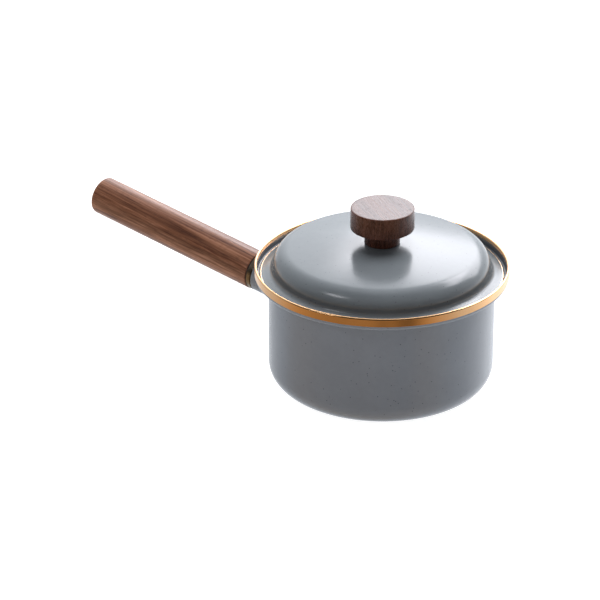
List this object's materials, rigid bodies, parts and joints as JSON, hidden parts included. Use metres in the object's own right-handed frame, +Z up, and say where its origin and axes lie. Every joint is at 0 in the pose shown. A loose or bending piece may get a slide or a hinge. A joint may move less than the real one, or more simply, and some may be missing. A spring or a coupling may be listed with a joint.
{
  "type": "saucepan with lid",
  "caption": "Round enamelled steel saucepan with a turned wooden grip, a metal-banded rim and a domed lift-off lid with a wooden knob.",
  "frame": {"origin": "centre of the pan's flat base, on the surface it stands on", "axes": "+Z up along the pan's axis, -X towards the handle, +X away from it; the pan is symmetric about the XZ plane"},
  "size_m": [0.3571, 0.18, 0.1333],
  "materials": {
    "enamel_pan": "satin-gloss vitreous enamel",
    "enamel_lid": "satin-gloss vitreous enamel",
    "rim_copper": "polished",
    "ring_metal": "polished",
    "ferrule_bronze": "dark satin",
    "walnut_grip": "oiled",
    "walnut_knob": "oiled",
    "fibre": "matt",
    "steel": "zinc plated",
    "insert_brass": "turned"
  },
  "bodies": {
    "pan": {"pan_shell": "enamel_pan", "pan_rim_band": "rim_copper", "neck_saddle": "enamel_pan", "handle_neck": "enamel_pan", "neck_end_plate": "steel", "neck_nut": "steel", "handle_ferrule": "ferrule_bronze", "grip_gasket": "fibre", "handle_grip": "walnut_grip", "bolt_washer": "steel", "bolt_spring_washer": "steel", "handle_bolt": "steel"},
    "lid": {"lid_shell": "enamel_lid", "lid_edge_ring": "ring_metal", "lid_knob": "walnut_knob", "knob_insert": "insert_brass", "knob_seat_washer": "fibre", "knob_fibre_washer": "fibre", "knob_washer": "steel", "knob_screw": "steel"}
  },
  "joints": [
    {"name": "lid_lift", "type": "slide", "parent": "pan", "child": "lid", "axis": [0, 0, 1], "range_m": [0, 0.12]}
  ]
}
